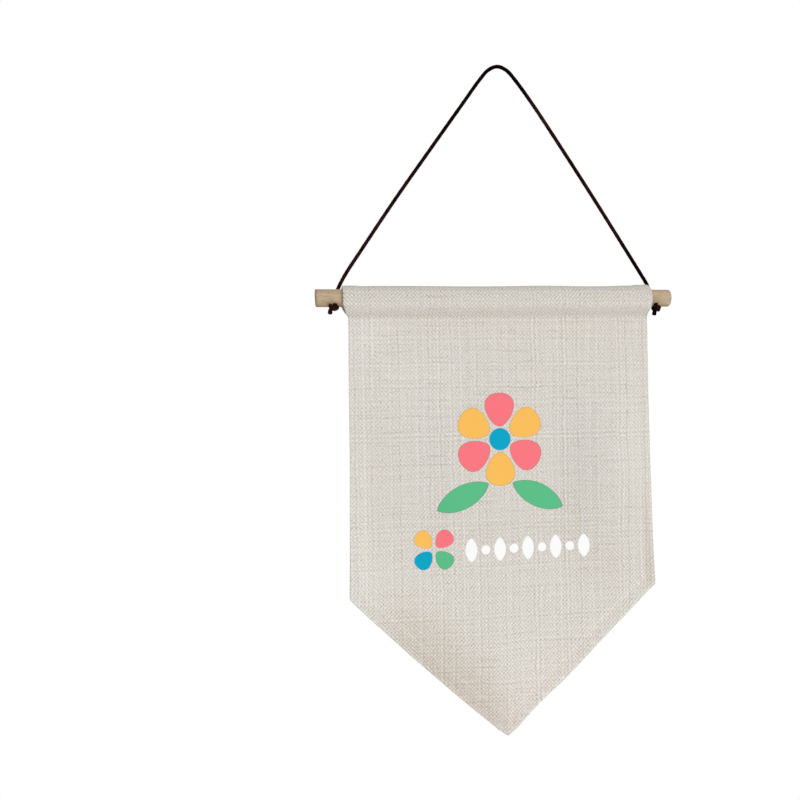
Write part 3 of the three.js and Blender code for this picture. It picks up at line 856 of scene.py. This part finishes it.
# The printed motif: a plain rosette with two leaves, over a band of beads and buds. Places are
# in millimetres from the middle of the print, up is positive.
printSet = {
    "middle": (-2.9, 98.0),  # x, and drop below the dowel's axis
    "film": 0.07,
    "rosette": (0, 8.5),
    "petalReach": 18.8,
    "petalSize": (21.5, 18.6),
    "heart": 7.0,
    "leafSize": (37, 15),
    "leaves": ((-24.5, -27.5, 26), (24.5, -27.5, 154)),
    "bandDrop": 159.0,
    "bandStart": -19.9,
    "bandStep": 9.3,
    "bandCount": 9,
    "budSize": (15.5, 8.0),
    "beadSize": 6.0,
    "posy": (-43.5, 1.0),
    "posyReach": 8.8,
    "posySize": (12.6, 10.6),
    "rings": (1, 0.985, 0.95, 0.86, 0.72, 0.54, 0.34, 0.16),  # of a patch, from outline to middle
    "inks": {  # colour, and the colour of the painted shadow in the hair line round each shape
        "green": ((0.112, 0.532, 0.255), (0.16, 0.33, 0.21)),
        "coral": ((0.985, 0.195, 0.232), (0.55, 0.22, 0.23)),
        "amber": ((0.990, 0.534, 0.112), (0.58, 0.40, 0.19)),
        "blue": ((0.003, 0.390, 0.590), (0.08, 0.26, 0.36)),
        "white": ((0.98, 0.98, 0.98), (0.74, 0.73, 0.71)),
    },
}


# outline of a leaf or bud: x = L/2 cos t, y = W/2 sin t |sin t|^0.55
def leafLine(length, width, t):
    sine = np.sin(t)
    return np.stack([length / 2 * np.cos(t), width / 2 * sine * np.abs(sine) ** 0.55], 1)


# outline of a petal: an oval that is wider towards its outer end, y = W/2 sin t (1 + 0.3 cos t)
def petalLine(length, width, t):
    return np.stack([length / 2 * np.cos(t), width / 2 * np.sin(t) * (1 + 0.3 * np.cos(t))], 1)


def turned(line, degrees, place):
    return line @ turnMatrix(degrees) + place


# every shape of the print as (ink, outline), outlines running anticlockwise; a flower is
# petals at even turns round its middle
def printShapes(settings):
    t = roundAngles(72)
    few = t[::2]
    band = settings["middle"][1] - settings["bandDrop"]
    heart, posy = np.array(settings["rosette"]), np.array(settings["posy"]) + [0, band]
    shapes = []

    def flower(inks, middle, reach, size, t, degrees):
        for k, ink in enumerate(inks):
            turn = degrees + 360 / len(inks) * k
            away = reach * turnMatrix(turn)[0]
            shapes.append((ink, turned(petalLine(*size, t), turn, middle + away)))

    flower(("coral", "amber") * 3, heart, settings["petalReach"], settings["petalSize"], t, 90)
    shapes.append(("blue", circle(settings["heart"], len(t)) + heart))
    for x, y, degrees in settings["leaves"]:
        shapes.append(("green", turned(leafLine(*settings["leafSize"], t), degrees, np.array([x, y]))))
    flower(("coral", "amber", "blue", "green"), posy, settings["posyReach"], settings["posySize"], few, 45)
    bud = turned(leafLine(*settings["budSize"], few), 90, 0)
    bead = circle(settings["beadSize"] / 2, len(few))
    for k in range(settings["bandCount"]):
        place = [settings["bandStart"] + k * settings["bandStep"], band]
        shapes.append(("white", (bead if k % 2 else bud) + place))
    return shapes


# Each shape is rings drawn from its outline to its middle; the outline is carried onto the
# panel's face and a film's thickness proud of it.
def inkPatch(line, settings):
    count, centre = len(line), line.mean(0)
    rings = np.array(settings["rings"])
    flat = centre + rings[:, None, None] * (line - centre)
    flat = np.vstack([flat.reshape(-1, 2), centre])
    x, drop = settings["middle"][0] + flat[:, 0], settings["middle"][1] - flat[:, 1]
    proud = np.where(np.arange(len(x)) < count, 0.15, 1.0)  # the outline nearly touches the cloth
    points = np.stack([x, panelFace(x, drop) - settings["film"] * proud, rodZ - drop], 1)
    quads = gridFaces(len(rings), count)
    return points, [*quads, *fanFaces((len(rings) - 1) * count + np.arange(count), len(points) - 1)]


# flat matt ink, greyer in a hair line of painted shadow round each shape, with a trace of the cloth under it
def ink(name, colour, edgeShadowColour):
    look = Recipe(name)
    uv = look.threads()
    cell = look.times(*threadWaves(look, uv)[1])
    patch = look.noise(uv, 0.12, 3.0, 0.6, "2D")
    shade = look.layered(look.times(cell, 0.012), (patch, 0.05))
    flat = look.blend(shade, colour, [0.82 * part for part in colour])
    return look.finish({
        "Base Color": look.blend(look.stored("inkEdgeShadow"), flat, edgeShadowColour),
        "Roughness": 0.72,
        "Specular IOR Level": 0.05,
        "Normal": look.bump(look.math("ABSOLUTE", cell), 0.00005, 0.35),
    })


def buildPrint(settings):
    inks = list(settings["inks"])
    points, faces, which, edge, total = [], [], [], [], 0
    for name, line in printShapes(settings):
        patch, patchFaces = inkPatch(line, settings)
        points.append(patch)
        faces += [face + total for face in patchFaces]
        which += [inks.index(name)] * len(patchFaces)
        # the outer two rings carry the painted shadow at the film's edge
        edge.append(np.arange(len(patch)) < 2 * len(line))
        total += len(patch)
    points = np.vstack(points)
    materials = [ink(f"ink{name.title()}", *settings["inks"][name]) for name in inks]
    motif = addPiece("printed_motif", points, faces, materials)
    motif.data.polygons.foreach_set("material_index", which)
    layThreads(motif, np.stack([points[:, 0], points[:, 2] - rodZ + clothSet["seamDrop"]], 1))
    setAttribute(motif, "inkEdgeShadow", "FLOAT", np.concatenate(edge))
    film = motif.modifiers.new("film", "SOLIDIFY")
    film.thickness = settings["film"] * mm
    film.offset = -1
    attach(motif, "root")
    print("motif printed,", len(motif.data.polygons), "faces")
    return motif


motif = buildPrint(printSet)

# short stitches of cloth-coloured thread along the sleeve's seam, front and back
stitchSet = {
    "length": 2.3,
    "pitch": 3.1,
    "thick": 0.42,
    "sides": 8,
    "steps": 7,
    "margin": 3.5,
    "sink": 0.26,  # how deep the ends dip
    "drops": (12.55, 13.4),  # front and back row
}


def sewingThread():
    look = Recipe("sewingThread")
    tone = look.noise(look.scaled(look.objectPlace(), (900, 2500, 2500)), 1.0, 2.0)
    colour = look.blend(tone, (0.50, 0.46, 0.39), (0.72, 0.69, 0.62))
    return look.finish({"Base Color": colour, "Roughness": 0.7, "Sheen Weight": 0.1})


# each stitch is a spindle whose ends dip into the cloth
def buildStitches(settings):
    steps, sides, margin = settings["steps"], settings["sides"], settings["margin"]
    ends = -clothSet["edgeLeft"][0] + margin, clothSet["edgeRight"][0] - margin
    middles = np.arange(*ends, settings["pitch"])
    t = np.linspace(-1, 1, steps)[:, None]
    angle = roundAngles(sides)
    girth = settings["thick"] / 2 * np.sqrt(np.clip(1 - t**4, 0.02, 1))
    x = middles[:, None, None] + t * settings["length"] / 2 + 0 * angle
    front = panelFace(middles, np.full(len(middles), clothSet["seamDrop"] + 0.35))[:, None, None]
    points = []
    for facing, level, drop in zip((-1, 1), (front - 0.02, clothSet["seamBack"] + 0.12), settings["drops"]):
        y = level + facing * (girth * np.cos(angle) * 0.8 - settings["sink"] * t**4)
        z = rodZ - drop - facing * girth * np.sin(angle)
        points.append(np.stack(np.broadcast_arrays(x, y, z), -1).reshape(-1, 3))
    starts = np.arange(2 * len(middles)) * steps * sides
    faces = [face + start for start in starts for face in tubeFaces(steps, sides)]
    stitches = addPiece("seam_stitches", np.vstack(points), faces, [sewingThread()])
    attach(stitches, "root")
    print("seam sewn,", len(starts), "stitches")
    return stitches


stitches = buildStitches(stitchSet)

# the dowel: a turned birch-like stick with a slanted hole through each end
dowelSet = {
    "sides": 96,
    "eased": (0.7, 0.55),  # rounding of the left and right end
    "ends": (-0.35, -0.45),  # both ends lie this far along X from the CAD's
    "tiltLeft": 0.04,  # the left end isn't sawn quite square
    "bore": 3.0,
    "boreSides": 40,
    "marks": ((105.1, 4.7, 0.9), (110.2, 3.1, 0.8), (105.0, 0.8, 0.6)),  # x, height over the axis, size
}


def birchWood():
    look = Recipe("birchWood")
    place = look.objectPlace()
    grain = look.noise(look.scaled(place, (35, 420, 420)), 1.0, 5.0, 0.62)
    fine = look.noise(look.scaled(place, (140, 2600, 2600)), 1.0, 4.0, 0.7)
    patch = look.noise(look.scaled(place, (60, 130, 130)), 1.0, 3.0, 0.55)
    fleck = look.noise(look.scaled(place, (170, 1500, 1500)), 1.0, 2.0, 0.5)
    x, _, z = look.split(place)
    middle, half = (rodLow[0] + rodHigh[0]) / 2 * mm, (rodHigh[0] - rodLow[0]) / 2 * mm
    out = look.math("ABSOLUTE", look.math("SUBTRACT", x, middle))
    # painted shade: darker at both ends' arrises and on the underside
    arrisShade = look.remap(out, half - 0.0014, half - 0.0002, 0.0, 0.42)
    under = look.remap(z, (rodZ - 0.98 * rodRadius) * mm, (rodZ - 0.72 * rodRadius) * mm, 0.5, 0.0)
    shaded = look.math("MAXIMUM", arrisShade, under)
    # darker spots near the right hole, in the same tint
    for markX, up, size in dowelSet["marks"]:
        spot = (markX * mm, -math.sqrt(rodRadius**2 - up**2) * mm, (rodZ + up) * mm)
        gap = look.add("VectorMath", (place, spot), "Value", operation="DISTANCE")
        shaded = look.math("MAXIMUM", shaded, look.remap(gap, 0.1 * size * mm, size * mm, 0.5, 0.0))
    colour = look.blend(look.remap(patch, 0.35, 0.68), (0.470, 0.350, 0.212), (0.620, 0.472, 0.300))
    for share, tint in (
        (look.remap(grain, 0.42, 0.62, 0.0, 0.55), (0.660, 0.528, 0.360)),
        (look.remap(fleck, 0.57, 0.68, 0.0, 0.62), (0.235, 0.158, 0.092)),
        (look.remap(fine, 0.3, 0.7, 0.0, 0.22), (0.310, 0.225, 0.125)),
        (look.remap(x, 0.06, 0.10, 0.0, 0.16), (0.720, 0.560, 0.370)),  # paler to the right
        (shaded, (0.200, 0.138, 0.080)),
    ):
        colour = look.blend(share, colour, tint)
    return look.finish({
        "Base Color": colour,
        "Roughness": look.remap(grain, 0.3, 0.7, 0.58, 0.74),
        "Specular IOR Level": 0.35,
        "Normal": look.bump(look.layered(look.times(grain, 0.5), (fine, 0.6)), 0.00012, 0.5),
    })


# rings of a stick turned from an outline whose ends are eased by quarter circles, and tilted a
# little at the left end
def turnedStick(settings):
    left, right = rodLow[0] + settings["ends"][0], rodHigh[0] + settings["ends"][1]
    quarter, inner = np.radians(np.linspace(0, 90, 9)), np.array([0.001, 0.35, 0.7])
    depths, radii = [], []  # of each end's rings, from its middle outwards
    for eased in settings["eased"]:
        rim = rodRadius - eased * (1 - np.sin(quarter))
        depths.append(np.concatenate([0 * inner, eased * (1 - np.cos(quarter))]))
        radii.append(np.concatenate([inner * rim[0], rim]))
    straight = np.linspace(left + depths[0][-1], right - depths[1][-1], 150)[1:-1]
    x = np.concatenate([left + depths[0], straight, right - depths[1][::-1]])[:, None]
    radius = np.concatenate([radii[0], 0 * straight + rodRadius, radii[1][::-1]])[:, None]
    angle = roundAngles(settings["sides"])
    y, z = radius * np.cos(angle), radius * np.sin(angle)
    x = x - settings["tiltLeft"] * (1 - ease(x, left, left + 9)) * (z - rodRadius)
    return np.stack([x, y, z + rodZ], -1)


# a rod along one hole, longer than the dowel is thick
def boreTool(end, settings):
    ring = circle(settings["bore"] / 2, settings["boreSides"]) @ holeAxes(end)[:2]
    points = np.vstack([ring + onHole(end, distance) for distance in (-12, 12)])
    tool = addPiece("bore", points, tubeFaces(2, settings["boreSides"]))
    mend(tool)
    return tool


def buildDowel(settings):
    points = turnedStick(settings)
    faces = tubeFaces(*points.shape[:2])
    dowel = addPiece("dowel_turned", points.reshape(-1, 3), faces, [birchWood()])
    mend(dowel)
    tools = [boreTool(cordSet[side], settings) for side in ("left", "right")]
    for tool in tools:
        cut = dowel.modifiers.new("bore", "BOOLEAN")
        cut.operation = "DIFFERENCE"
        cut.solver = "EXACT"
        cut.object = tool
    bpy.context.view_layer.update()
    bored = bpy.data.meshes.new_from_object(dowel.evaluated_get(bpy.context.evaluated_depsgraph_get()))
    dowel.modifiers.clear()
    dowel.data = bored
    for tool in tools:
        bpy.data.objects.remove(tool)
    bored.polygons.foreach_set("use_smooth", np.ones(len(bored.polygons), bool))
    bored.set_sharp_from_angle(angle=math.radians(38))
    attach(dowel, "root")
    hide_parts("dowel")
    print("dowel turned and bored,", len(bored.polygons), "faces")
    return dowel


dowel = buildDowel(dowelSet)

# pale floor, white surroundings and soft studio light; sizes here are in metres
studioSet = {
    "floorDrop": 0.75,
    "floorSize": 0.62,
    "floorRings": 11,
    "floorSides": 96,
    "ambient": (0.27, 0.575),  # from below, from above
    "lights": {
        "keyLight": {"place": (0.55, -1.6, -0.05), "aim": (0, 0, -0.25), "size": 1.0, "power": 13.1},
        "fillLight": {"place": (-1.2, -1.0, -0.2), "aim": (0, 0, -0.2), "size": 1.2, "power": 3.6},
        "backLight": {"place": (0.4, 1.6, 0.1), "aim": (0, 0, -0.25), "size": 1.0, "power": 11.0},
    },
}


def paleFloor(settings):
    look = Recipe("paleFloor")
    grain = look.noise(look.objectPlace(), 60.0, 4.0)
    material = look.finish({
        "Base Color": look.blend(grain, (0.93, 0.93, 0.92), (0.96, 0.96, 0.95)),
        "Roughness": 0.85,
        "Specular IOR Level": 0.2,
        "Emission Color": (1, 1, 1),
        "Emission Strength": 0.10,
    })
    rings, sides = settings["floorRings"], settings["floorSides"]
    radius = np.linspace(0, settings["floorSize"] / mm, rings + 1)[1:]
    flat = np.vstack([*(circle(size, sides) for size in radius), [0, 0]])
    points = np.column_stack([flat, np.full(len(flat), -settings["floorDrop"] / mm)])
    faces = [*gridFaces(rings, sides)[:, ::-1], *fanFaces(np.arange(sides), rings * sides)]
    addPiece("floor", points, faces, [material])


def softLight(name, settings):
    data = bpy.data.lights.new(name, "AREA")
    data.shape = "DISK"
    data.size = settings["size"]
    data.energy = settings["power"]
    place, aim = np.array(settings["place"]), np.array(settings["aim"])
    back = unit(place - aim)
    side = unit(np.cross([0, 0, 1], back))
    axes = np.eye(4)
    axes[:3] = np.stack([side, np.cross(back, side), back, place], axis=1)
    putInScene(name, data, Matrix(axes.tolist()))


# White surroundings for the camera; for everything else they brighten evenly from straight
# below to straight above.
def studio(settings):
    paleFloor(settings)
    for name, light in settings["lights"].items():
        softLight(name, light)
    sky = Recipe("studio", bpy.data.worlds)
    bpy.context.scene.world = sky.owner
    up = sky.split(sky.add("TexCoord", output="Generated"))[2]
    strength = sky.remap(up, -1, 1, *settings["ambient"])
    glow, seen = (sky.add("Background", {"Color": (1, 1, 1), "Strength": power}) for power in (strength, 1.0))
    mixed = sky.add("MixShader", (sky.add("LightPath", output="Is Camera Ray"), glow, seen))
    sky.plugAll({"Surface": mixed}, sky.nodes["World Output"])
    bpy.context.scene.view_settings.view_transform = "Standard"
    print("studio lit")


studio(studioSet)
